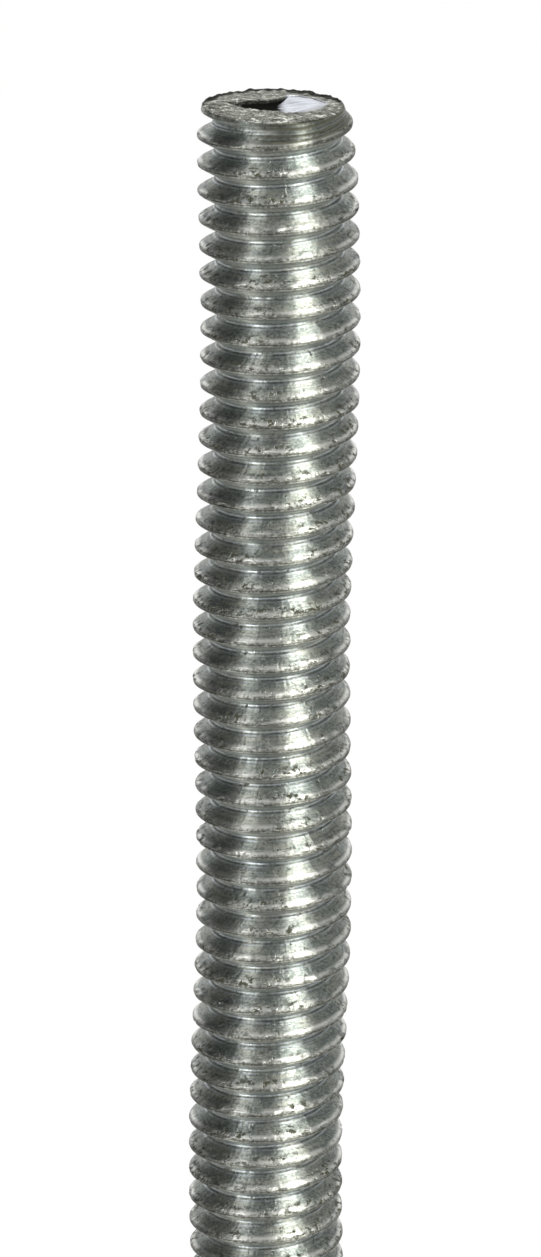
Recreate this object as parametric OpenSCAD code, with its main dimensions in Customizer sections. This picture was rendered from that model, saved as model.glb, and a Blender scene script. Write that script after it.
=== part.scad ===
// Threaded rod: zinc-plated steel with a rolled right-hand inch thread along all of its length.
// The foot is cut square and bevelled. The top end was cropped by a shear, which left a ledge of
// smeared metal at the left, a smooth pit beside it and a pressed collar at the right.
// Millimetres. +Z runs up the rod, the origin is the centre of the foot, and -Y is the front.

/* [Rod] */
// Length from the foot to the top of the cropped end
rod_length = 76.2; // [40:0.1:82]
// Bevel around the foot, measured along the radius and along the rod
foot_bevel = 0.45; // [0.1:0.05:0.6]

/* [Thread] */
// Diameter over the crests, for a 5/16 inch rod
major_d = 7.94; // [7.5:0.01:9]
// Distance from one turn to the next, for 18 turns to the inch
pitch = 1.411; // [1.38:0.001:1.6]
// Depth of the groove from crest to root
thread_depth = 0.86; // [0.6:0.01:0.95]
// Width of the flat along a crest
crest_w = 0.27; // [0.15:0.01:0.4]
// Width of the flat along a root
root_w = 0.15; // [0.1:0.01:0.3]
// Straight facets that make one turn
turn_facets = 26; // [12:2:26]

/* [Crook] */
// How far the rod snakes to each side of a straight line
crook = 0.11; // [0:0.01:0.3]
// Length of one full wave of that snaking
crook_wave = 28; // [20:0.5:60]

/* [Cropped end] */
// Drop from the end to the middle of the first crest at the left
first_crest_drop = 0.2; // [0.1:0.01:0.4]
// Bevel around the end, measured along the radius
end_bevel = 0.47; // [0.2:0.01:0.6]
// Height of that bevel along the rod
end_bevel_h = 0.3; // [0.15:0.01:0.5]
// Turn of the ledge's front side from the left-right direction, in degrees
ledge_turn = 33; // [10:1:45]
// Distance of the ledge's front side from the rod's middle
ledge_front = 1.15; // [0.6:0.05:1.6]
// Distance of the ledge's right side from the rod's middle
ledge_right = 0.35; // [0:0.05:1]
// Depth of the step in front of the ledge, along the ledge's right side
step_h = 0.12; // [0.05:0.01:0.2]
// Fall of the end towards the front, in degrees
front_fall = 2.5; // [1:0.5:4]
// Width of the smooth pit where it meets the end
pit_w = 3.7; // [2.5:0.1:4.2]
// Depth of the pit at its middle
pit_depth = 0.4; // [0.2:0.01:0.6]
// Place of the pit's middle, to the right of the rod's middle
pit_right = 0.8; // [0.4:0.05:1]
// Place of the pit's middle, behind the rod's middle
pit_back = 0.55; // [0:0.05:0.8]
// Height of the collar that the shear pressed over the first groove at the right
collar_h = 0.95; // [0.6:0.05:1.2]
// Distance from the crests in to the collar's upper edge, at the far right
collar_top_inset = 0.64; // [0.5:0.01:0.8]
// Distance from the crests in to the collar's lower edge, at the far right
collar_foot_inset = 0.2; // [0.1:0.01:0.4]
// Shift of the collar to the right, which lets it sink into the rod at the left
collar_shift = 0.45; // [0.3:0.05:0.6]

/* [Hidden] */

major_r = major_d / 2;
root_r = major_r - thread_depth;

// Crest, flank, root and flank, as [place along one turn, radius]
turn_profile = [
    [-crest_w / 2, major_r],
    [crest_w / 2, major_r],
    [(pitch - root_w) / 2, root_r],
    [(pitch + root_w) / 2, root_r],
];
steps = len(turn_profile);

// Whole turns run past both ends, which the bar then trims.
// The left side is half a turn round from the side where each turn starts.
left_crest_z = rod_length - first_crest_drop;
turns = ceil(left_crest_z / pitch + 1/2) + 1;
rows = turns * steps;
start_z = left_crest_z - pitch / 2 - (turns - 1) * pitch;

// Room that carries a cutting shape clear of what it cuts
margin = 1;

// How far the rod's middle lies to the right of a straight line at height z
function sway(z) = crook * sin(360 * z / crook_wave);

// One corner of the thread's skin: rows run up the profile, columns run round the rod
function skin_point(row, column) =
    let (
        spot = turn_profile[row % steps],
        z = start_z + (floor(row / steps) + column / turn_facets) * pitch + spot[0],
        a = 360 * column / turn_facets
    )
    [spot[1] * cos(a) + sway(z), spot[1] * sin(a), z];

// A column past the last one is the first column again, one turn higher up
function skin_index(row, column) =
    column < turn_facets
        ? row * turn_facets + column
        : (row + steps) * turn_facets + column - turn_facets;

module thread_body() {
    skin = [
        for (row = [0 : rows + steps - 1], column = [0 : turn_facets - 1])
            skin_point(row, column)
    ];
    low_z = start_z;
    high_z = start_z + (turns + 1) * pitch;
    low_hub = len(skin);
    high_hub = low_hub + 1;
    top_row = rows - 1;
    walls = [
        for (row = [0 : top_row - 1], column = [0 : turn_facets - 1])
            let (
                a = skin_index(row, column),
                b = skin_index(row, column + 1),
                c = skin_index(row + 1, column + 1),
                d = skin_index(row + 1, column)
            )
            each [[a, c, b], [a, d, c]]
    ];
    // Each end is a fan over one turn of its last row and over the step that closes that turn
    low_end = [
        for (column = [0 : turn_facets - 1])
            [low_hub, skin_index(0, column), skin_index(0, column + 1)],
        for (row = [0 : steps - 1])
            [low_hub, skin_index(row + 1, 0), skin_index(row, 0)],
    ];
    high_end = [
        for (column = [0 : turn_facets - 1])
            [high_hub, skin_index(top_row, column + 1), skin_index(top_row, column)],
        for (row = [top_row : top_row + steps - 1])
            [high_hub, skin_index(row, 0), skin_index(row + 1, 0)],
    ];
    polyhedron(
        points = concat(skin, [[sway(low_z), 0, low_z], [sway(high_z), 0, high_z]]),
        faces = concat(walls, low_end, high_end),
        convexity = 10
    );
}

// The collar fills the first groove at the right, and leans as the thread climbs there
module collar() {
    foot_r = major_r - collar_foot_inset - collar_shift;
    slope = (collar_top_inset - collar_foot_inset) / collar_h;
    climb = atan(pitch / (PI * major_d));
    translate([collar_shift, 0, rod_length - collar_h])
        rotate([climb, 0, 0])
            cylinder(
                h = collar_h + margin,
                r1 = foot_r,
                r2 = foot_r - slope * (collar_h + margin),
                $fn = 96
            );
}

// The plain bar that trims the thread: bevelled foot, bevelled cropped end
module foot_trim() {
    foot_r = major_r - foot_bevel;
    cylinder(h = foot_bevel + margin, r1 = foot_r, r2 = foot_r + foot_bevel + margin, $fn = 96);
}

module end_trim() {
    end_r = major_r - end_bevel;
    slope = end_bevel / end_bevel_h;
    reach = end_bevel_h + margin;
    translate([0, 0, rod_length - reach])
        cylinder(h = reach, r1 = end_r + reach * slope, r2 = end_r, $fn = 96);
}

// Plan of the ledge: all that lies behind its front side and left of its right side
module ledge_block() {
    translate([0, 0, rod_length - margin])
        intersection() {
            rotate([0, 0, ledge_turn])
                translate([-2 * major_d, ledge_front, 0])
                    cube([4 * major_d, major_d, 3 * margin]);
            translate([ledge_right - 2 * major_d, -major_d, 0])
                cube([2 * major_d, 2 * major_d, 3 * margin]);
        }
}

module front_step() {
    translate([0, 0, rod_length - step_h])
        rotate([front_fall, 0, 0])
            translate([-major_d, -major_d, 0])
                cube([2 * major_d, 2 * major_d, 2 * margin]);
}

module pit() {
    ball_r = (pow(pit_w / 2, 2) + pow(pit_depth, 2)) / (2 * pit_depth);
    translate([pit_right, pit_back, rod_length - step_h - pit_depth + ball_r])
        sphere(r = ball_r, $fn = 96);
}

module cropped_end() {
    translate([sway(rod_length), 0, 0])
        difference() {
            end_trim();
            difference() {
                union() {
                    front_step();
                    pit();
                }
                ledge_block();
            }
        }
}

module threaded_rod() {
    color("#8f9690")
        intersection() {
            union() {
                thread_body();
                translate([sway(rod_length), 0, 0]) collar();
            }
            union() {
                foot_trim();
                translate([0, 0, foot_bevel + margin / 2])
                    cylinder(h = rod_length - foot_bevel - margin - end_bevel_h, r = major_r + margin, $fn = 96);
                cropped_end();
            }
        }
}

threaded_rod();
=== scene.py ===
"""A zinc-plated threaded rod on a pale floor, in the frame of its CAD model.

The rod is one closed mesh. Its rows run along the helix of the thread and its columns stand one
above the other, so crests, flanks and roots each have rows of their own. The cropped end and the
plain foot close it. Lengths are in millimetres until the mesh is made, and angles run from the
right towards the back.
"""

import math

import bmesh
import bpy
import numpy as np
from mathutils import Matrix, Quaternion, Vector, noise


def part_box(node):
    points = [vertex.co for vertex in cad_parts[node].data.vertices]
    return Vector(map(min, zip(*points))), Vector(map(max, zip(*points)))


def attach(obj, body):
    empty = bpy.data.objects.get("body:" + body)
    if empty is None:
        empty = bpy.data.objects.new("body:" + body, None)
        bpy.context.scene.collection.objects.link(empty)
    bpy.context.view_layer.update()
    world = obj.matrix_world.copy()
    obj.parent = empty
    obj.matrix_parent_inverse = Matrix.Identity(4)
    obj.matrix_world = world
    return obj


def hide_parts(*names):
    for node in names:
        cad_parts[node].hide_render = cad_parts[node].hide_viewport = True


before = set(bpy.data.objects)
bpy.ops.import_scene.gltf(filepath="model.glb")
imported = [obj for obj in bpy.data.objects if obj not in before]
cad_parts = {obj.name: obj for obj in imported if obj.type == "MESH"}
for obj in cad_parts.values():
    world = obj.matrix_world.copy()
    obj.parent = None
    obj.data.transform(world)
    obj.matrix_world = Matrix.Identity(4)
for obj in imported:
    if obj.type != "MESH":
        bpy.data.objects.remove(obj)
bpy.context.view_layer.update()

MM = 0.001
LOW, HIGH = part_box("threaded_rod")

# Sizes of the rod
ROD_LENGTH = (HIGH[2] - LOW[2]) / MM
MAJOR_R = HIGH[1] / MM
CROOK = HIGH[0] / MM - MAJOR_R
CROOK_WAVE = 28.0
FOOT_BEVEL = 0.45

# Sizes of the thread, with its worn crests a little narrower and its grooves a little deeper than new
PITCH = 1.411
THREAD_DEPTH = 0.93
ROOT_R = MAJOR_R - THREAD_DEPTH
CREST_HALF = 0.105
FLANK_TAN = math.tan(math.radians(30))
CREST_ROUND_UP, CREST_ROUND_DOWN = 0.13, 0.08
ROOT_ROUND_UP, ROOT_ROUND_DOWN = 0.38, 0.14
FIRST_CREST_DROP = 0.2

# Wear of the crests: slow and fast wandering along the rod, the same across it, nicks and a seam
CREST_WANDER = (0.016, 0.0096)
CREST_UNEVEN = (0.022, 0.02)
CREST_RAISE = 0.02
NICK_DEPTH = 0.16
SEAM_DEPTH = 0.05

# Mesh density, and the places across one turn in pitches from the crest's middle
COLUMNS = 100
END_COLUMNS = 2 * COLUMNS
HALF_LANES = [0.035, 0.075, 0.11, 0.15, 0.26, 0.35, 0.43]
LANES = np.array([-x for x in reversed(HALF_LANES)] + [0.0] + HALF_LANES + [0.5])
RIM_RINGS = 20
FLOOR_RINGS = 13

# Where the thread starts and how many turns it needs to run past both ends
LEFT_CREST = ROD_LENGTH - FIRST_CREST_DROP
TURNS = math.ceil(LEFT_CREST / PITCH + 0.5) + 2
START = LEFT_CREST - PITCH / 2 - (TURNS - 2) * PITCH

# The rim of the cropped end: its radius, which is larger at the left, and how far it falls to the front
# and to the back, rolls down along its front and sags at the right front and the left back
RIM_R = 3.5
RIM_LEFT = 0.16
RIM_WOBBLE = 0.05
RIM_FALL = 0.02
BACK_FALL = 0.24
RIM_ROLL = 0.05
RIM_SAG = 0.05
RIM_ROUGH = 0.02
# Nicks in the rim: direction in degrees, width and depth
RIM_NICKS = [
    (122, 0.42, 0.13),
    (137, 0.3, 0.06),
    (86, 0.28, 0.12),
    (79, 0.16, 0.09),
    (66, 0.3, 0.1),
    (52, 0.2, 0.07),
    (20, 0.2, 0.08),
    (250, 0.25, 0.06),
    (205, 0.3, 0.07),
]

# Bevel below the rim, as its run along the radius for each millimetre along the rod
BEVEL_LEFT, BEVEL_RIGHT = 0.2, 0.8
# The last turns at the right are pressed in, by this much and over this length
TAPER_DEPTH, TAPER_LENGTH = 0.3, 4.5
# How far the edges of the foot's bevel, the end's bevel and the collar are rounded
FOOT_ROUND, BEVEL_ROUND, COLLAR_ROUND = 0.05, 0.08, 0.06

# The collar pressed over the first groove at the right: it starts under the rim, widens at its slope
# up to its inset from the crests, ends at its height, and sinks into the rod at the left
COLLAR_START = 0.02
COLLAR_SLOPE = 0.54
COLLAR_INSET = 0.12
COLLAR_H = 0.95
COLLAR_END_SLOPE = 3
COLLAR_SINK = 0.6
COLLAR_REACH = 2.2
# Where the folds lie on the collar, measured along the helix, with their width and depth
FOLDS = (-0.12, 0.14, 0.42, 0.66)
FOLD_HALF, FOLD_DEPTH = 0.06, 0.1
# How far below the end the painted shade in the collar's folds reaches
FOLD_SHADE_REACH = 2

# Outline of the pit in the cropped end: its right side, the ledge's edge, then its front lip
PIT_OUTLINE = [
    (2.35, 0.45),
    (2.1, 0.95),
    (1.85, 1.4),
    (1.35, 1.9),
    (0.95, 2.15),
    (0.5, 2.3),
    (0.32, 1.85),
    (0.14, 1.5),
    (-0.06, 1.26),
    (-0.3, 1.06),
    (-0.56, 0.86),
    (-0.9, 0.78),
    (-1.4, 0.66),
    (-1.9, 0.36),
    (-2.55, 0.24),
    (-1.9, -0.4),
    (-1.3, -0.9),
    (-0.6, -1.1),
    (0.0, -1.3),
    (0.6, -1.5),
    (1.1, -1.4),
    (1.6, -1.1),
    (2.0, -0.6),
    (2.25, -0.1),
]
# The outline's corners are rounded off by a blur over this many of these fine steps
PIT_BLUR, PIT_STEPS = 31, 6000
PIT_WOBBLE = 0.03
PIT_MIDDLE = np.array([0.15, 0.25])
PIT_DEPTH = 0.36
# Directions from the pit's middle between which the ledge lies, and where the front wall fades out
LEDGE_FROM, LEDGE_TO = 82, 182
FRONT_FADES, FRONT_ENDS = 280, 325
# Heights of the pit's wall, how far it runs in under the ledge, and how far it leans at the front
LEDGE_WALL = 0.5
FRONT_WALL = 0.3
RIGHT_WALL = 0.012
UNDERCUT = 0.14
FRONT_LEAN = 0.18
# Rings down that wall: the share of its undercut or lean, the share of its height, and the painted shade on
# it
WALL_RINGS = [(0.0, 0.12, 0.75), (0.8, 0.45, 1.0), (1.0, 0.8, 1.0), (0.6, 1.0, 1.0)]

# Relief of the smeared metal around the pit
LEDGE_SWELL = 0.045
SMEAR_WAVES = (0.02, 0.015)
FRONT_WAVES = 0.08
FRONT_LIP, RIGHT_LIP = 0.06, 0.03
RIM_BURR = 0.1
FLOOR_WAVES = 0.012
FLOOR_EDGE = 0.04


def smooth_min(a, b, reach):
    """The smaller of a and b, rounded over the given reach where they cross."""
    gap = np.maximum(reach - np.abs(a - b), 0)
    return np.minimum(a, b) - gap * gap / (4 * reach)


def smooth_max(a, b, reach):
    """The larger of a and b, rounded over the given reach where they cross."""
    return -smooth_min(-a, -b, reach)


def ramp(x, low, high):
    """0 below low, 1 above high, and a smooth step between them."""
    t = np.clip((x - low) / (high - low), 0, 1)
    return t * t * (3 - 2 * t)


def bump(x, middle, width):
    """A smooth hill of height 1 and the given width."""
    return np.exp(-(((x - middle) / width) ** 2))


def rough(x, y, z, seed):
    """Smooth noise between about -1 and 1, with bumps about one unit across."""
    shift = seed * 17.31
    spots = np.stack(np.broadcast_arrays(x + shift, y - shift, z), -1)
    values = [noise.noise(Vector(spot)) for spot in spots.reshape(-1, 3).tolist()]
    return np.array(values).reshape(spots.shape[:-1])


def sway(z):
    """How far the rod's middle lies to the right of a straight line at height z."""
    return CROOK * np.sin(math.tau * z / CROOK_WAVE)


def half_turn(degrees):
    """The same direction, from -180 up to 180 degrees."""
    return (degrees + 180) % 360 - 180


def plain_level(back):
    """Height of the cropped end, which falls a little towards the front and more towards the back."""
    return ROD_LENGTH - RIM_FALL * (1 - back) - BACK_FALL * ramp(back, -0.3, 1.0)


def end_level(angle):
    """Height of the end's rim, which follows the plain level, sags in places and is nicked."""
    right, back = np.cos(angle), np.sin(angle)
    level = plain_level(back) - RIM_ROLL * ramp(-back, -0.6, 0.5)
    level = level - RIM_SAG * ramp(-right * back, 0.1, 0.5)
    for degrees, width, depth in RIM_NICKS:
        away = np.radians(half_turn(np.degrees(angle) - degrees)) * RIM_R
        level = level - depth * bump(away, 0, width / 2)
    return level + RIM_ROUGH * rough(9 * right, 9 * back, 0.5, 3)


def thread_place(angle, z):
    """Place along the helix in turns, and place across one turn in pitches from the crest."""
    climb = (z - START) / PITCH - angle / math.tau
    turn = np.floor(climb + 0.5)
    return turn + angle / math.tau, climb - turn


def thread_radius(lane, along):
    """Radius of the worn thread: its crests wander, and a seam and nicks run along them."""
    wander = CREST_WANDER[0] * rough(along / 2.6, 0, 0, 1) + CREST_WANDER[1] * rough(along / 0.8, 0, 0, 2)
    out = np.abs(lane * PITCH + wander)
    flank = MAJOR_R - (out - CREST_HALF) / FLANK_TAN
    uneven = CREST_UNEVEN[0] * rough(along / 3.1, 0, 0, 4)
    uneven = uneven + CREST_UNEVEN[1] * rough(along / 0.55, lane * 9, 0, 5)
    nick = NICK_DEPTH * ramp(rough(along / 0.5, lane * 5, 0, 6), 0.42, 0.7)
    seam = SEAM_DEPTH * bump(lane, -0.01, 0.035) * ramp(rough(along / 1.6, 0, 0, 7), -0.1, 0.35)
    above = lane > 0
    crest_round = np.where(above, CREST_ROUND_UP, CREST_ROUND_DOWN)
    crest = smooth_min(MAJOR_R + CREST_RAISE + uneven - nick - seam, flank, crest_round)
    return smooth_max(crest, np.full_like(out, ROOT_R), np.where(above, ROOT_ROUND_UP, ROOT_ROUND_DOWN))


def collar_climb(angle, below):
    """Distance below the end, measured so that it stays the same along the helix."""
    return below + PITCH * half_turn(np.degrees(angle)) / 360


def folds(climb):
    """1 along the folds that the shear pressed into the collar, and 0 between them."""
    return sum(bump(climb, middle, FOLD_HALF) for middle in FOLDS)


def collar_radius(angle, below, rim):
    """Radius of the collar: a folded cone under the rim, which sinks into the rod at the left."""
    climb = collar_climb(angle, below)
    cone = np.minimum(rim + COLLAR_SLOPE * below - COLLAR_START, MAJOR_R - COLLAR_INSET)
    sink = COLLAR_SINK * (1 - ramp(np.cos(angle), -0.45, 0.5))
    return cone - FOLD_DEPTH * folds(climb) - COLLAR_END_SLOPE * np.maximum(climb - COLLAR_H, 0) - sink


def skin_radius(angle, z):
    """Radius of the rod's side: the thread, trimmed by the bevels and pressed shut by the collar."""
    right, back = np.cos(angle), np.sin(angle)
    turn, lane = thread_place(angle, z)
    radius = thread_radius(lane, turn * math.tau * MAJOR_R)
    below = ROD_LENGTH - z
    rim = RIM_R - RIM_LEFT * right + RIM_WOBBLE * rough(6 * right, 6 * back, 0, 8)
    radius = smooth_min(radius, MAJOR_R - FOOT_BEVEL + z, FOOT_ROUND)
    bevel = BEVEL_LEFT + (BEVEL_RIGHT - BEVEL_LEFT) * ramp(right, -0.95, -0.1)
    radius = smooth_min(radius, rim + bevel * below, BEVEL_ROUND)
    collared = smooth_max(radius, collar_radius(angle, below, rim), COLLAR_ROUND)
    radius = np.where(below < COLLAR_REACH, collared, radius)
    taper = TAPER_DEPTH * ramp(right, 0.2, 1.0) * ramp(-below, -TAPER_LENGTH, 0)
    return radius - taper * ramp(radius, ROOT_R, MAJOR_R)


def fold_grime(angle, z):
    """Painted shade in the collar's folds and, more thinly, a darkening over the whole collar."""
    pressed = ramp(np.cos(angle), -0.8, 0.1) * (z > ROD_LENGTH - FOLD_SHADE_REACH)
    climb = collar_climb(angle, ROD_LENGTH - z)
    inside = ramp(climb, COLLAR_H + 0.15, COLLAR_H)
    return pressed * np.minimum(0.4 * inside + folds(climb), 1)


def side_grid():
    """Points, faces, thread coordinates and painted fold shade of the side, cut off flat at the end's rim and
    the foot.
    """
    lanes = len(LANES)
    rows = TURNS * lanes
    row, column = np.mgrid[0 : rows + lanes, 0:COLUMNS]
    angle = math.tau * column / COLUMNS
    z = START + (row // lanes + column / COLUMNS + LANES[row % lanes]) * PITCH
    z = np.clip(z, 0, end_level(angle[:1]))
    radius = skin_radius(angle, z)
    points = np.stack([radius * np.cos(angle) + sway(z), radius * np.sin(angle), z], -1)

    def index(r, c):
        return np.where(c < COLUMNS, r * COLUMNS + c, (r + lanes) * COLUMNS + c - COLUMNS)

    r, c = np.mgrid[0 : rows - 1, 0:COLUMNS]
    corners = [(r, c), (r, c + 1), (r + 1, c + 1), (r + 1, c)]
    faces = np.stack([index(*corner) for corner in corners], -1)
    wide = np.append(LANES, LANES[0] + 1)
    across = [wide[r % lanes], wide[r % lanes], wide[r % lanes + 1], wide[r % lanes + 1]]
    along = [(r // lanes + corner[1] / COLUMNS) * math.tau * MAJOR_R for corner in corners]
    places = np.stack([np.stack(along, -1), np.stack(across, -1) * PITCH], -1)
    grime = fold_grime(angle, z)
    return points.reshape(-1, 3), faces.reshape(-1, 4).tolist(), places.reshape(-1, 2), grime.ravel()


def pit_reach(angle):
    """Distance from the pit's middle to its outline in each direction."""
    corners = [Vector(p) - Vector(PIT_MIDDLE) for p in PIT_OUTLINE]
    turns = np.unwrap([math.atan2(p.y, p.x) for p in corners])
    around = np.concatenate([turns - math.tau, turns, turns + math.tau])
    reach = np.tile([p.length for p in corners], 3)
    fine = np.linspace(around[0], around[-1], PIT_STEPS)
    blur = np.hanning(PIT_BLUR) / np.hanning(PIT_BLUR).sum()
    return np.interp(angle, fine, np.convolve(np.interp(fine, around, reach), blur, "same"))


class EndRings:
    """Rings of points around the cropped end, from the rim inwards, each with its darkening and polish. The
    darkening is painted shade on the pit's wall and floor, and dark strips along the rim.
    """

    def __init__(self):
        self.angle = math.tau * np.arange(END_COLUMNS) / END_COLUMNS
        self.degrees = np.degrees(self.angle)
        self.way = np.stack([np.cos(self.angle), np.sin(self.angle)])
        self.points, self.grime, self.polish = [], [], []
        # Shares of the ledge, the pit's front wall and its shallow right side in each direction
        past = ramp(self.degrees, LEDGE_FROM - 3, LEDGE_FROM + 3)
        before = 1 - ramp(self.degrees, FRONT_FADES, FRONT_ENDS)
        self.ledge = past * (1 - ramp(self.degrees, LEDGE_TO - 14, LEDGE_TO + 4))
        self.front = ramp(self.degrees, LEDGE_TO - 4, LEDGE_TO + 16) * before
        self.right = 1 - past * before

    def add(self, xy, z, grime, polish):
        self.points.append(np.stack([xy[0] + sway(z), xy[1], z], -1))
        self.grime.append(np.broadcast_to(grime, self.angle.shape))
        self.polish.append(np.broadcast_to(polish, self.angle.shape))

    def rise(self, xy, share, level):
        """Height of the smeared metal above the rim, at a share of the way from there to the pit."""
        swell = LEDGE_SWELL * self.ledge * bump(share, 0.55, 0.4)
        waves = SMEAR_WAVES[0] * rough(xy[0] * 1.6, xy[1] * 2.2, 0, 10)
        waves = waves + SMEAR_WAVES[1] * rough(xy[0] * 5, xy[1] * 5, 0, 11)
        waves = waves + FRONT_WAVES * self.front * rough(xy[0] * 3.2, xy[1] * 2.4, 0, 14)
        lip = FRONT_LIP * self.front * ramp(share, 0.8, 1.0) + RIGHT_LIP * self.right * ramp(share, 0.6, 1.0)
        torn = ramp(rough(9 * self.way[0] + 2 * self.way[1], 13 * self.way[1], 0, 13), -0.3, 0.4)
        burr = RIM_BURR * torn * bump(share, 0.07, 0.05) * (0.2 + 0.8 * ramp(self.way[1], -0.1, 0.5))
        flat = (plain_level(xy[1] / RIM_R) - level) * ramp(share, -0.05, 0.16)
        return flat + (swell + waves) * ramp(share, 0, 0.15) - lip + burr

    def dark_strip(self, xy, share):
        """Darker in a torn strip along the back of the rim, wider beside the pit, and along the front lip."""
        wide = 0.24 + 0.3 * self.right * ramp(self.way[1], 0.1, 0.6)
        wide = wide + 0.3 * rough(xy[0] * 3, xy[1] * 1.5, 0, 15)
        strip = 0.9 * ramp(self.way[1], -0.25, 0.25) * (1 - ramp(share / np.maximum(wide, 0.04), 0.7, 1.1))
        return np.maximum(strip, 0.35 * self.front * bump(share, 1, 0.1))

    def add_rim(self):
        """Smeared metal from the rim to the pit's edge, whose place is returned."""
        level = end_level(self.angle)
        rim_xy = skin_radius(self.angle, level) * self.way
        wobble = 1 + PIT_WOBBLE * rough(5 * self.way[0], 5 * self.way[1], 0, 9)
        edge_xy = PIT_MIDDLE[:, None] + pit_reach(self.angle) * wobble * self.way
        for step in range(RIM_RINGS + 1):
            share = step / RIM_RINGS
            xy = rim_xy + (edge_xy - rim_xy) * share
            # The first ring is the rim itself, so that it meets the side
            z = level + self.rise(xy, share, level) * min(step, 1)
            self.add(xy, z, self.dark_strip(xy, share), self.right * ramp(share, 0.75, 1.1))
        return edge_xy

    def add_wall(self, edge_xy):
        """The pit's wall, which runs in under the ledge and is painted dark as shade. The place of its foot
        is returned.
        """
        edge_z = self.points[-1][:, 2]
        wall = LEDGE_WALL * self.ledge + FRONT_WALL * self.front
        for out, down, grime in WALL_RINGS:
            xy = edge_xy + self.way * (UNDERCUT * out * self.ledge - FRONT_LEAN * out * self.front)
            z = edge_z - wall * down - RIGHT_WALL * self.right
            # Painted shade: the wall is dark, fully under the ledge and a little less at the front
            self.add(xy, z, grime * (self.ledge + 0.8 * self.front), self.right)
        return xy

    def add_floor(self, foot_xy):
        """The pit's floor: a bowl, painted black as shadow at the left and burnished at the right."""
        foot_z = self.points[-1][:, 2]
        turned = ramp(self.degrees, 150, 210)
        deep = LEDGE_WALL * ramp(self.degrees, 55, 125) * (1 - turned)
        deep = FLOOR_EDGE + deep + FRONT_WALL * turned * (1 - ramp(self.degrees, 260, 330))
        for step in range(1, FLOOR_RINGS):
            share = step / FLOOR_RINGS
            xy = foot_xy + (PIT_MIDDLE[:, None] - foot_xy) * share
            waves = FLOOR_WAVES * rough(xy[0] * 2, xy[1] * 2, 0, 12)
            waves = waves * ramp(share, 0, 0.3) * (1 - ramp(share, 0.7, 1.0))
            bowl = deep + (PIT_DEPTH - deep) * ramp(share, -0.25 * (1 - self.right), 0.9)
            z = ROD_LENGTH - bowl + (foot_z - ROD_LENGTH + deep) * (1 - ramp(share, 0, 0.4)) + waves
            # Painted shadow: dark at the left, where the ledge shades the floor, fading out towards the right
            self.add(xy, z, 1 - ramp(xy[0] + 0.08 * xy[1], 0.0, 0.5), ramp(share, -0.25, 0.3))


def end_grid():
    """Points, faces, darkening (painted shade and dark strips) and polish of the cropped end. Its first faces
    join it to the side.
    """
    rings = EndRings()
    rings.add_floor(rings.add_wall(rings.add_rim()))
    hub_z = ROD_LENGTH - PIT_DEPTH
    hub_point = [[PIT_MIDDLE[0] + sway(hub_z), PIT_MIDDLE[1], hub_z]]
    points = np.concatenate(rings.points + [hub_point])
    # The end has two points in its rings for each column of the side, so three faces join them
    faces = []
    for k in range(0, END_COLUMNS, 2):
        rim, rim_next = k, (k + 2) % END_COLUMNS
        inner = [END_COLUMNS + (k + step) % END_COLUMNS for step in range(3)]
        faces += [[rim, inner[1], inner[0]], [rim, rim_next, inner[1]], [rim_next, inner[2], inner[1]]]
    last = len(rings.points) - 1
    r, c = np.mgrid[1:last, 0:END_COLUMNS]
    after = (c + 1) % END_COLUMNS
    quads = np.stack([r, r, r + 1, r + 1], -1) * END_COLUMNS + np.stack([c, after, after, c], -1)
    faces += quads.reshape(-1, 4).tolist()
    start, hub = last * END_COLUMNS, len(points) - 1
    faces += [[start + k, start + (k + 1) % END_COLUMNS, hub] for k in range(END_COLUMNS)]
    return points, faces, np.append(rings.grime, 0.0), np.append(rings.polish, 1.0)


def close_mesh(mesh):
    """Welds the end to the side, drops what has no size, and closes the foot with one flat face."""
    work = bmesh.new()
    work.from_mesh(mesh)
    bmesh.ops.remove_doubles(work, verts=work.verts, dist=1e-7)
    bmesh.ops.dissolve_degenerate(work, dist=1e-8, edges=work.edges)
    loose = [v for v in work.verts if not v.link_faces]
    bmesh.ops.delete(work, geom=loose, context="VERTS")
    foot_edges = [e for e in work.edges if e.is_boundary and e.verts[0].co.z < FOOT_BEVEL * MM]
    foot = bmesh.ops.holes_fill(work, edges=foot_edges, sides=0)["faces"]
    for face in foot:
        face.material_index = 1
    bmesh.ops.recalc_face_normals(work, faces=work.faces)
    for face in work.faces:
        face.smooth = face not in foot
    work.to_mesh(mesh)
    work.free()


def build_rod():
    """Joins the side and the cropped end into one closed mesh."""
    side, side_faces, places, side_grime = side_grid()
    end, end_faces, end_grime, end_polish = end_grid()
    base = len(side)
    faces = side_faces + [[base + i for i in f] for f in end_faces]
    mesh = bpy.data.meshes.new("rod_skin")
    mesh.from_pydata((np.concatenate([side, end]) * MM).tolist(), [], faces)
    uv = mesh.uv_layers.new(name="thread")
    uv_values = np.zeros((len(mesh.loops), 2))
    uv_values[: len(places)] = places
    uv.data.foreach_set("uv", uv_values.ravel())
    # The darkening holds painted shade in the collar's folds and in the pit, and dark strips along the end's
    # rim
    for name, values in (("grime", [side_grime, end_grime]), ("polish", [np.zeros(base), end_polish])):
        layer = mesh.attributes.new(name, "FLOAT", "POINT")
        layer.data.foreach_set("value", np.concatenate(values))
    slots = np.zeros(len(faces), dtype=np.int32)
    slots[len(side_faces) :] = 1
    mesh.polygons.foreach_set("material_index", slots)
    close_mesh(mesh)
    rod = bpy.data.objects.new("rod_skin", mesh)
    bpy.context.scene.collection.objects.link(rod)
    return rod


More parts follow.
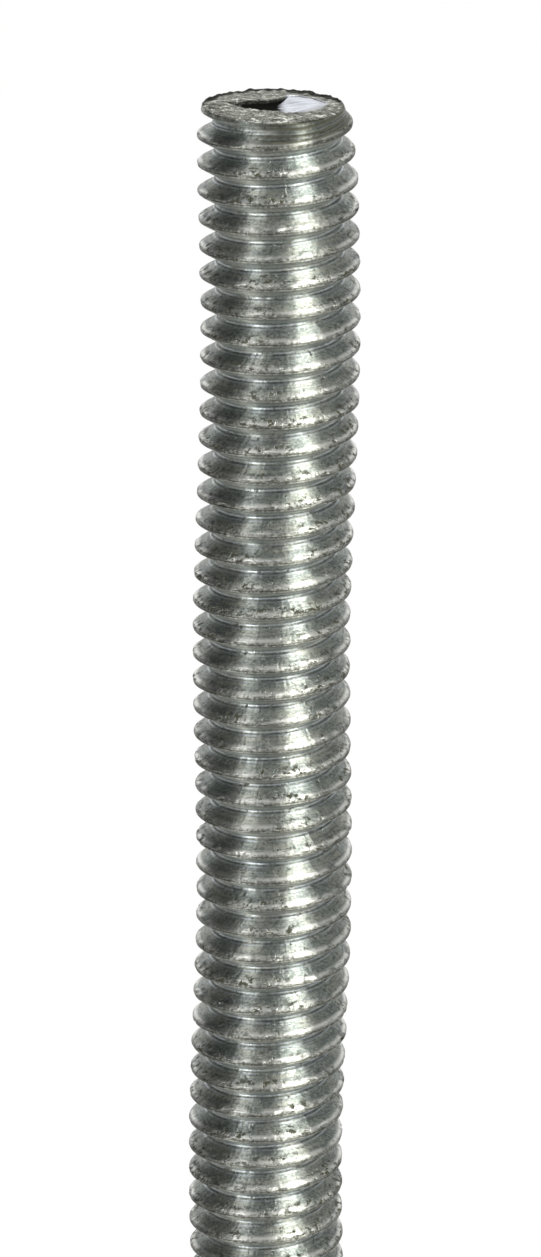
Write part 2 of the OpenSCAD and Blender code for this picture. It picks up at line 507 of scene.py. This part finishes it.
class Shade:
    """Short calls that add and link shader nodes."""

    def __init__(self, name):
        self.material = bpy.data.materials.new(name)
        self.material.use_nodes = True
        self.nodes = self.material.node_tree.nodes
        self.links = self.material.node_tree.links
        self.shader = self.nodes["Principled BSDF"]

    def put(self, socket, value):
        """Links another node's output to a socket, or sets it to a value."""
        if isinstance(value, bpy.types.NodeSocket):
            self.links.new(value, socket)
        elif value is not None:
            socket.default_value = value

    def math(self, kind, a, b=None):
        node = self.nodes.new("ShaderNodeMath")
        node.operation = kind
        self.put(node.inputs[0], a)
        self.put(node.inputs[1], b)
        return node.outputs[0]

    def steps(self, value, low, high, start=0.0, end=1.0):
        """A smooth step from start to end as value goes from low to high."""
        node = self.nodes.new("ShaderNodeMapRange")
        node.interpolation_type = "SMOOTHSTEP"
        for socket, entry in zip(node.inputs, (value, low, high, start, end)):
            self.put(socket, entry)
        return node.outputs[0]

    def band(self, value, middle, half):
        """1 at the middle, falling smoothly to 0 at half a band's width to either side."""
        away = self.math("ABSOLUTE", self.math("SUBTRACT", value, middle))
        return self.steps(away, 0.0, half, 1.0, 0.0)

    def mix(self, share, a, b):
        """Colour a, or b where share is 1."""
        node = self.nodes.new("ShaderNodeMix")
        node.data_type = "RGBA"
        self.put(node.inputs["Factor"], share)
        for name, value in (("A", a), ("B", b)):
            self.put(node.inputs[name], value if isinstance(value, bpy.types.NodeSocket) else (*value, 1))
        return node.outputs["Result"]

    def noise(self, vector, scale, detail=2.0, rough=0.5):
        node = self.nodes.new("ShaderNodeTexNoise")
        self.put(node.inputs["Vector"], vector)
        for name, value in (("Scale", scale), ("Detail", detail), ("Roughness", rough)):
            node.inputs[name].default_value = value
        return node.outputs["Fac"]

    def stretch(self, vector, scale):
        node = self.nodes.new("ShaderNodeVectorMath")
        node.operation = "MULTIPLY"
        self.put(node.inputs[0], vector)
        node.inputs[1].default_value = scale
        return node.outputs[0]

    def object_mm(self):
        """Object coordinates in millimetres."""
        return self.stretch(self.nodes.new("ShaderNodeTexCoord").outputs["Object"], (1 / MM,) * 3)

    def thread_uv(self):
        """Place along and across the thread in millimetres."""
        node = self.nodes.new("ShaderNodeUVMap")
        node.uv_map = "thread"
        return node.outputs["UV"]

    def attribute(self, name):
        node = self.nodes.new("ShaderNodeAttribute")
        node.attribute_name = name
        return node.outputs["Fac"]

    def relief(self, height, depth):
        """Bumps of the given depth in millimetres."""
        node = self.nodes.new("ShaderNodeBump")
        node.inputs["Strength"].default_value = 1.0
        node.inputs["Distance"].default_value = depth * MM
        self.put(node.inputs["Height"], height)
        self.put(self.shader.inputs["Normal"], node.outputs["Normal"])

    def turned(self, amount):
        """Stretches the highlights along the rod, as lines turned around it do."""
        self.shader.inputs["Anisotropic"].default_value = amount
        self.shader.inputs["Anisotropic Rotation"].default_value = 0.25
        tangent = self.nodes.new("ShaderNodeTangent")
        tangent.direction_type = "RADIAL"
        tangent.axis = "Z"
        self.put(self.shader.inputs["Tangent"], tangent.outputs["Tangent"])


def thread_dirt_and_shade(s, place, mm, lane, along):
    """Where the thread is dark: oily specks, pits, a seam on the crests, painted shade on the lower flanks
    under the crests, a dark line along the roots, and the painted shade in the collar's folds.
    """
    crowd = s.steps(s.noise(mm, 0.3, 2.0), 0.42, 0.58)
    edge = s.math("MULTIPLY", s.steps(lane, -0.02, 0.06), s.steps(lane, 0.2, 0.32, 1.0, 0.0))
    specks = s.steps(s.noise(s.stretch(place, (2.4, 5.0, 1)), 1.0, 3.0, 0.75), 0.5, 0.6)
    oily = s.math("MULTIPLY", s.math("MULTIPLY", crowd, edge), specks)
    pits = s.steps(s.noise(mm, 2.6, 3.0, 0.7), 0.62, 0.69, 0.0, 0.8)
    seam = s.math("MULTIPLY", s.band(lane, -0.02, 0.045), s.steps(along, 0.52, 0.6, 0.7, 0.0))
    # Painted shade: the lower flanks under the crests are darkened as if in shade, and a dark line runs along
    # the roots
    under = s.math("MAXIMUM", s.band(lane, -0.16, 0.1), s.band(lane, -0.42, 0.05))
    line = s.math("MULTIPLY", s.band(lane, 0.45, 0.03), s.steps(along, 0.35, 0.6, 0.25, 1.0))
    grooves = s.math("MULTIPLY", s.math("MAXIMUM", line, under), 0.5)
    # The darkening attribute adds the painted shade in the collar's folds
    lines = s.math("MAXIMUM", s.math("MAXIMUM", seam, grooves), s.attribute("grime"))
    return s.math("MAXIMUM", s.math("MAXIMUM", oily, pits), lines)


def zinc():
    """Dull zinc plating: streaked along the thread, rubbed bright on edges, with oily dark specks and painted
    shade on the lower flanks and in the collar's folds.
    """
    s = Shade("zinc")
    place = s.thread_uv()
    split = s.nodes.new("ShaderNodeSeparateXYZ")
    s.put(split.inputs[0], place)
    lane = s.math("DIVIDE", split.outputs["Y"], PITCH)
    mm = s.object_mm()
    lines = s.noise(s.stretch(place, (0.3, 8.0, 1)), 1.0, 3.0, 0.6)
    fine_lines = s.noise(s.stretch(place, (1.0, 26.0, 1)), 1.0, 2.0)
    chatter = s.noise(s.stretch(place, (3.5, 0.7, 1)), 1.0, 2.0)
    along = s.noise(s.stretch(place, (0.9, 2.0, 1)), 1.0, 3.0, 0.6)
    blotch = s.noise(mm, 0.55, 3.0)
    grain = s.noise(mm, 7.0, 3.0, 0.65)

    # Plain flanks: grey-green, with olive and bluish blotches and dark and pale streaks
    colour = s.mix(s.steps(blotch, 0.38, 0.62), (0.25, 0.285, 0.265), (0.40, 0.415, 0.36))
    colour = s.mix(s.steps(lines, 0.38, 0.62, 0.0, 0.75), colour, (0.20, 0.22, 0.22))
    colour = s.mix(s.steps(fine_lines, 0.52, 0.68, 0.0, 0.45), colour, (0.55, 0.58, 0.57))
    colour = s.mix(s.steps(grain, 0.5, 0.62, 0.0, 0.5), colour, (0.55, 0.56, 0.50))
    colour = s.mix(s.steps(grain, 0.36, 0.46, 0.6, 0.0), colour, (0.12, 0.13, 0.11))
    # Crests: dull, pale and dark in grains
    crest = s.steps(s.math("ABSOLUTE", lane), 0.07, 0.12, 1.0, 0.0)
    dull = s.mix(s.steps(grain, 0.42, 0.6), (0.16, 0.165, 0.145), (0.42, 0.425, 0.39))
    colour = s.mix(s.math("MULTIPLY", crest, 0.9), colour, dull)
    # Rubbed edges of the crests, and lines that the rolling dies burnished along the roots
    worn = s.math("MULTIPLY", s.band(lane, 0.12, 0.08), s.steps(along, 0.36, 0.55))
    root = s.math("MAXIMUM", s.band(lane, 0.5, 0.035), s.band(lane, 0.4, 0.035))
    root = s.math("MULTIPLY", root, s.steps(along, 0.34, 0.52))
    colour = s.mix(s.math("MULTIPLY", worn, 0.9), colour, (0.80, 0.80, 0.76))
    colour = s.mix(s.math("MULTIPLY", root, 0.6), colour, (0.64, 0.70, 0.76))
    # Dirt and painted shade dull the metal, and only where they are thick do they hide it
    dark = thread_dirt_and_shade(s, place, mm, lane, along)
    s.put(s.shader.inputs["Base Color"], s.mix(dark, colour, (0.045, 0.045, 0.028)))
    s.put(s.shader.inputs["Metallic"], s.steps(dark, 0.7, 1.0, 1.0, 0.3))
    s.shader.inputs["Specular IOR Level"].default_value = 0.15
    gloss = s.steps(blotch, 0.3, 0.7, 0.44, 0.52)
    gloss = s.math("SUBTRACT", gloss, s.math("MULTIPLY", s.math("MAXIMUM", worn, root), 0.14))
    s.put(s.shader.inputs["Roughness"], s.math("ADD", gloss, s.math("MULTIPLY", dark, 0.1)))
    s.turned(0.96)
    height = s.math("ADD", lines, s.math("MULTIPLY", fine_lines, 0.5))
    height = s.math("ADD", height, s.math("MULTIPLY", chatter, 0.5))
    height = s.math("ADD", height, s.math("MULTIPLY", grain, 0.4))
    s.relief(s.math("SUBTRACT", height, s.math("MULTIPLY", dark, 0.5)), 0.035)
    return s.material


def sheared_steel():
    """The cropped end: matte smeared metal, a bright burnished pit and black painted shade in its undercut.
    """
    s = Shade("sheared_steel")
    mm = s.object_mm()
    grime = s.attribute("grime")
    polish = s.attribute("polish")
    grain = s.noise(mm, 9.0, 4.0, 0.75)
    smear = s.noise(s.stretch(mm, (0.9, 6.0, 1)), 1.0, 4.0, 0.65)
    flakes = s.noise(s.stretch(mm, (1.0, 1.5, 1.0)), 2.2, 4.0, 0.7)
    matte = s.mix(s.steps(grain, 0.4, 0.6), (0.11, 0.115, 0.1), (0.36, 0.365, 0.34))
    matte = s.mix(s.steps(smear, 0.5, 0.62, 0.0, 0.6), matte, (0.08, 0.082, 0.07))
    matte = s.mix(s.steps(flakes, 0.56, 0.63, 0.0, 0.75), matte, (0.80, 0.81, 0.77))
    matte = s.mix(s.steps(flakes, 0.4, 0.46, 0.75, 0.0), matte, (0.045, 0.047, 0.038))
    bright = s.mix(s.steps(smear, 0.3, 0.7), (0.58, 0.61, 0.69), (0.80, 0.83, 0.90))
    colour = s.mix(polish, matte, bright)
    # Black painted shade in the pit, and the dark strips along the rim, where the darkening is high
    colour = s.mix(grime, colour, (0.006, 0.0065, 0.0055))
    s.put(s.shader.inputs["Base Color"], colour)
    s.put(s.shader.inputs["Metallic"], s.steps(grime, 0.6, 1.0, 1.0, 0.0))
    s.shader.inputs["Specular IOR Level"].default_value = 0.0
    gloss = s.steps(polish, 0.0, 1.0, 0.8, 0.25)
    s.put(s.shader.inputs["Roughness"], s.math("ADD", gloss, s.math("MULTIPLY", grime, 0.3)))
    height = s.math("ADD", s.math("MULTIPLY", grain, s.steps(polish, 0.0, 0.8, 1.0, 0.05)), smear)
    s.relief(s.math("MULTIPLY", height, s.steps(polish, 0.0, 1.0, 1.0, 0.25)), 0.05)
    return s.material


def new_node(tree, kind, **settings):
    node = tree.nodes.new(kind)
    for name, value in settings.items():
        setattr(node, name, value)
    return node


# Half the floor's width in metres, its colour, and how much of it is shown as plain white
FLOOR_HALF = 60
FLOOR_COLOUR = (0.8, 0.8, 0.8, 1)
FLOOR_WHITE = 0.96


def seen_white(tree):
    """1 for rays from the camera and off or through shiny things, so that all see a white background."""
    path = tree.nodes.new("ShaderNodeLightPath")
    seen = path.outputs["Is Camera Ray"]
    for name in ("Is Glossy Ray", "Is Transmission Ray"):
        either = new_node(tree, "ShaderNodeMath", operation="MAXIMUM")
        tree.links.new(seen, either.inputs[0])
        tree.links.new(path.outputs[name], either.inputs[1])
        seen = either.outputs[0]
    return seen


def add_floor():
    """A pale floor, most of it shown as plain white, so that only soft shadows mark it."""
    corners = [(x * FLOOR_HALF, y * FLOOR_HALF, 0) for x, y in ((-1, -1), (1, -1), (1, 1), (-1, 1))]
    mesh = bpy.data.meshes.new("floor")
    mesh.from_pydata(corners, [], [(0, 1, 2, 3)])
    floor = bpy.data.objects.new("floor", mesh)
    bpy.context.scene.collection.objects.link(floor)
    material = bpy.data.materials.new("pale_floor")
    material.use_nodes = True
    tree = material.node_tree
    shader = tree.nodes["Principled BSDF"]
    shader.inputs["Base Color"].default_value = FLOOR_COLOUR
    shader.inputs["Roughness"].default_value = 0.9
    glow = tree.nodes.new("ShaderNodeEmission")
    share = new_node(tree, "ShaderNodeMath", operation="MULTIPLY")
    share.inputs[1].default_value = FLOOR_WHITE
    mix = tree.nodes.new("ShaderNodeMixShader")
    tree.links.new(seen_white(tree), share.inputs[0])
    tree.links.new(share.outputs[0], mix.inputs["Fac"])
    tree.links.new(shader.outputs[0], mix.inputs[1])
    tree.links.new(glow.outputs[0], mix.inputs[2])
    tree.links.new(mix.outputs[0], tree.nodes["Material Output"].inputs["Surface"])
    mesh.materials.append(material)


# The studio around the rod, as shiny metal sees it: its grey, then zones that lie over it, each with its
# direction, the cosines of the angles at which it starts and is full, and its shade
STUDIO_SHADE = (0.42, 0.42, 0.42)
STUDIO_ZONES = [
    ((0, 0.97, 0.24), 0.74, 0.86, (1, 1, 1)),
    ((-0.52, 0.47, 0.71), 0.84, 0.93, (0, 0, 0)),
    ((-0.88, 0.05, 0.47), 0.87, 0.95, (0, 0, 0)),
    ((0.93, 0.1, 0.35), 0.83, 0.94, (0.8, 0.81, 0.8)),
    ((0.02, -0.5, 0.86), 0.76, 0.93, (1, 1, 1)),
]


def add_world():
    """White to the camera. To shiny metal it is a grey studio with bright and dark zones."""
    world = bpy.data.worlds.new("studio")
    bpy.context.scene.world = world
    world.use_nodes = True
    tree = world.node_tree

    def mixed(share, a, b):
        """Colour a, given as numbers or as another node's output, or colour b where share is 1."""
        mix = new_node(tree, "ShaderNodeMix", data_type="RGBA")
        tree.links.new(share, mix.inputs["Factor"])
        if isinstance(a, tuple):
            mix.inputs["A"].default_value = (*a, 1)
        else:
            tree.links.new(a, mix.inputs["A"])
        mix.inputs["B"].default_value = (*b, 1)
        return mix.outputs["Result"]

    facing = tree.nodes.new("ShaderNodeTexCoord").outputs["Generated"]
    colour = STUDIO_SHADE
    for direction, start, full, shade in STUDIO_ZONES:
        dot = new_node(tree, "ShaderNodeVectorMath", operation="DOT_PRODUCT")
        tree.links.new(facing, dot.inputs[0])
        dot.inputs[1].default_value = Vector(direction).normalized()
        zone = new_node(tree, "ShaderNodeMapRange", interpolation_type="SMOOTHSTEP")
        zone.inputs["From Min"].default_value = start
        zone.inputs["From Max"].default_value = full
        tree.links.new(dot.outputs["Value"], zone.inputs["Value"])
        colour = mixed(zone.outputs["Result"], colour, shade)
    path = tree.nodes.new("ShaderNodeLightPath")
    colour = mixed(path.outputs["Is Camera Ray"], colour, (1, 1, 1))
    tree.links.new(colour, tree.nodes["Background"].inputs["Color"])


# The lamps: name, direction, width and height in metres, power and colour
LAMPS = [
    ("key_right", (0.53, -0.62, 0.6), (0.29, 0.3), 7.8, (1.0, 1.0, 0.95)),
    ("key_left", (-0.68, -0.68, 0.3), (0.16, 0.26), 2.2, (1.0, 1.0, 1.0)),
    ("top", (0.1, 0.5, 0.86), (0.3, 0.3), 1.0, (1.0, 0.98, 0.9)),
]
# Their distance in metres, and the share of the rod's height that they face
LAMP_DISTANCE = 0.7
LAMP_AIM = 0.7


def add_lamps():
    for name, toward, size, power, colour in LAMPS:
        light = bpy.data.lights.new(name, "AREA")
        light.shape = "RECTANGLE"
        light.size, light.size_y = size
        light.energy = power
        light.color = colour
        lamp = bpy.data.objects.new(name, light)
        direction = Vector(toward).normalized()
        lamp.location = Vector((0, 0, ROD_LENGTH * MM * LAMP_AIM)) + direction * LAMP_DISTANCE
        lamp.rotation_euler = direction.to_track_quat("Z", "Y").to_euler()
        bpy.context.scene.collection.objects.link(lamp)


# The camera, from a fit of the helix to the photograph: how steeply it looks down and how far it is
# rolled in degrees, its distance and the end's height above its aim in rod diameters, and the rod's
# diameter and its middle's place beside the aim in the photograph's pixels
PHOTO_H = 1257
CAMERA_FALL = 19.4
CAMERA_ROLL = 0.65
CAMERA_FAR = 41.6
END_ABOVE = 3.449
SCALE_PX = 157.2
AXIS_RIGHT_PX = 3.8
SENSOR_MM = 36.0


def add_camera():
    data = bpy.data.cameras.new("camera")
    camera = bpy.data.objects.new("camera", data)
    bpy.context.scene.collection.objects.link(camera)
    across = 2 * MAJOR_R * MM
    fall = math.radians(CAMERA_FALL)
    aim = Vector((-AXIS_RIGHT_PX / SCALE_PX * across, 0, ROD_LENGTH * MM - END_ABOVE * across))
    back = Vector((0, -math.cos(fall), math.sin(fall)))
    roll = Quaternion((0, 0, 1), math.radians(CAMERA_ROLL))
    camera.location = aim + back * CAMERA_FAR * across
    camera.rotation_mode = "QUATERNION"
    camera.rotation_quaternion = back.to_track_quat("Z", "Y") @ roll
    data.sensor_width = SENSOR_MM
    data.lens = SCALE_PX * CAMERA_FAR / PHOTO_H * SENSOR_MM
    data.clip_start, data.clip_end = 0.01, 200
    bpy.context.scene.camera = camera


add_camera()
rod = build_rod()
rod.data.materials.append(zinc())
rod.data.materials.append(sheared_steel())
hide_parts("threaded_rod")
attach(rod, "root")
add_floor()
add_world()
add_lamps()
bpy.context.scene.view_settings.view_transform = "Standard"
